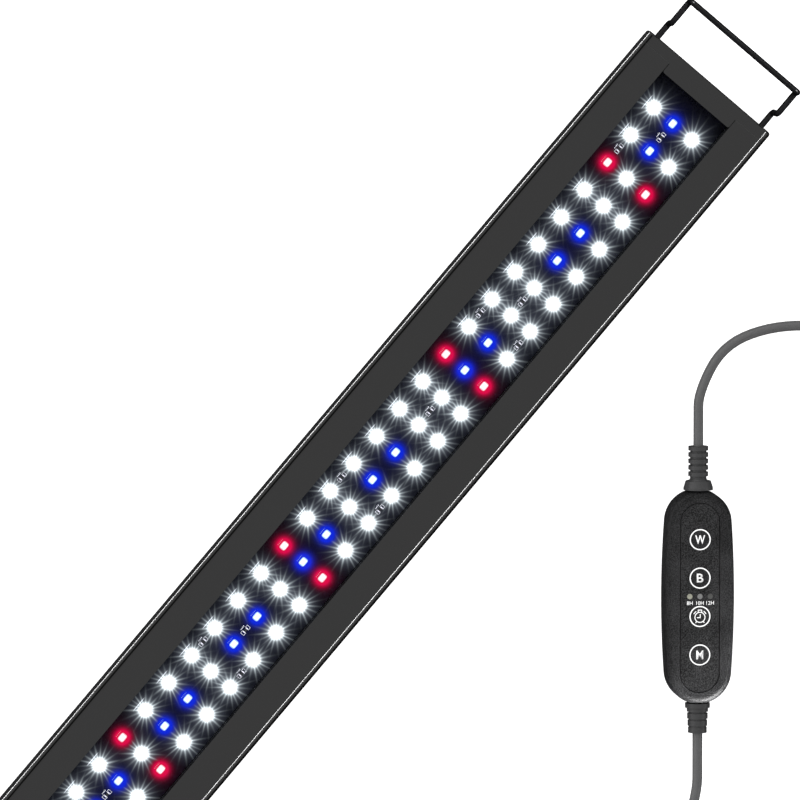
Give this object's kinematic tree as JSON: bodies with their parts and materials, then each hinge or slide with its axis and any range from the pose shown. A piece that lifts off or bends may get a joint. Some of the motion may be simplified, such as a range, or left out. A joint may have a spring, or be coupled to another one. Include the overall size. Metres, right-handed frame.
{
  "type": "led aquarium light",
  "caption": "Flat aquarium light bar with an LED board behind a clear cover, sliding wire brackets at both ends and an inline push-button controller.",
  "frame": {"origin": "middle of the flat back of the lamp bar, which is the side it lies on", "axes": "+X along the bar towards the near bracket, +Z out of the light face, away from the back"},
  "size_m": [0.6941, 0.3356, 0.0298],
  "materials": {
    "anodised_aluminium": "fine matte dark grey anodised finish",
    "cap_plastic": "fine matte moulded plastic",
    "seal_rubber": "matte",
    "screw_steel": "blackened steel",
    "clear_acrylic": "clear, polished",
    "solder_mask": "glossy black solder mask",
    "thermal_pad": "matte",
    "white_led": "clear resin over phosphor",
    "blue_led": "clear resin",
    "red_led": "clear resin",
    "chip_resistor": "ceramic with tinned ends",
    "lead_insulation": "thin PVC",
    "black_wire": "gloss black coated steel wire",
    "steel_collar": "plain steel",
    "shell_plastic": "fine spark-textured ABS",
    "keypad_plastic": "fine spark-textured ABS",
    "button_plastic": "fine texture, white printed legend",
    "lens_plastic": "smoked translucent",
    "switch_plastic": "moulded",
    "green_board": "green solder mask",
    "component_plastic": "moulded epoxy",
    "cord_pvc": "soft PVC sheath",
    "plug_pvc": "moulded PVC",
    "nickel_contact": "nickel plated"
  },
  "bodies": {
    "root": {"housing_extrusion": "anodised_aluminium", "near_end_cap": "cap_plastic", "far_end_cap": "cap_plastic", "near_cap_gasket": "seal_rubber", "far_cap_gasket": "seal_rubber", "near_cap_screws": "screw_steel", "far_cap_screws": "screw_steel", "near_wire_bushes": "seal_rubber", "far_wire_bushes": "seal_rubber", "cord_gland": "cord_pvc", "acrylic_cover": "clear_acrylic", "thermal_tape": "thermal_pad", "led_board": "solder_mask", "white_leds": "white_led", "blue_leds": "blue_led", "red_leds": "red_led", "chip_resistors": "chip_resistor", "board_leads": "lead_insulation", "controller_base_shell": "shell_plastic", "controller_top_shell": "shell_plastic", "keypad_plate": "keypad_plastic", "indicator_lens_left": "lens_plastic", "indicator_lens_middle": "lens_plastic", "indicator_lens_right": "lens_plastic", "control_board": "green_board", "tact_switches": "switch_plastic", "indicator_leds": "lens_plastic", "control_chips": "component_plastic", "controller_screws": "screw_steel", "controller_leads": "lead_insulation", "supply_strain_relief": "cord_pvc", "lamp_strain_relief": "cord_pvc", "lamp_cord_from_lamp": "cord_pvc", "lamp_cord_to_controller": "cord_pvc", "supply_cord_from_controller": "cord_pvc", "supply_cord_to_plug": "cord_pvc", "lamp_cord_coil": "cord_pvc", "supply_cord_coil": "cord_pvc", "plug_body": "plug_pvc", "plug_barrel": "nickel_contact", "plug_insulator": "switch_plastic", "plug_contact": "nickel_contact"},
    "near_bracket": {"near_bracket_wire": "black_wire", "near_wire_stops": "steel_collar"},
    "far_bracket": {"far_bracket_wire": "black_wire", "far_wire_stops": "steel_collar"},
    "white_button": {"button_white": "button_plastic", "switch_plunger_white": "switch_plastic"},
    "blue_button": {"button_blue": "button_plastic", "switch_plunger_blue": "switch_plastic"},
    "timer_button": {"button_timer": "button_plastic", "switch_plunger_timer": "switch_plastic"},
    "mode_button": {"button_mode": "button_plastic", "switch_plunger_mode": "switch_plastic"}
  },
  "joints": [
    {"name": "near_bracket_slide", "type": "slide", "parent": "root", "child": "near_bracket", "axis": [1, 0, 0], "range_m": [-0.008, 0.07]},
    {"name": "far_bracket_slide", "type": "slide", "parent": "root", "child": "far_bracket", "axis": [-1, 0, 0], "range_m": [-0.008, 0.07]},
    {"name": "white_button_press", "type": "slide", "parent": "root", "child": "white_button", "axis": [0, 0, -1], "range_m": [0, 0.0005], "stiffness_N_per_m": 800, "springref_m": -0.0005},
    {"name": "blue_button_press", "type": "slide", "parent": "root", "child": "blue_button", "axis": [0, 0, -1], "range_m": [0, 0.0005], "stiffness_N_per_m": 800, "springref_m": -0.0005},
    {"name": "timer_button_press", "type": "slide", "parent": "root", "child": "timer_button", "axis": [0, 0, -1], "range_m": [0, 0.0005], "stiffness_N_per_m": 800, "springref_m": -0.0005},
    {"name": "mode_button_press", "type": "slide", "parent": "root", "child": "mode_button", "axis": [0, 0, -1], "range_m": [0, 0.0005], "stiffness_N_per_m": 800, "springref_m": -0.0005}
  ]
}
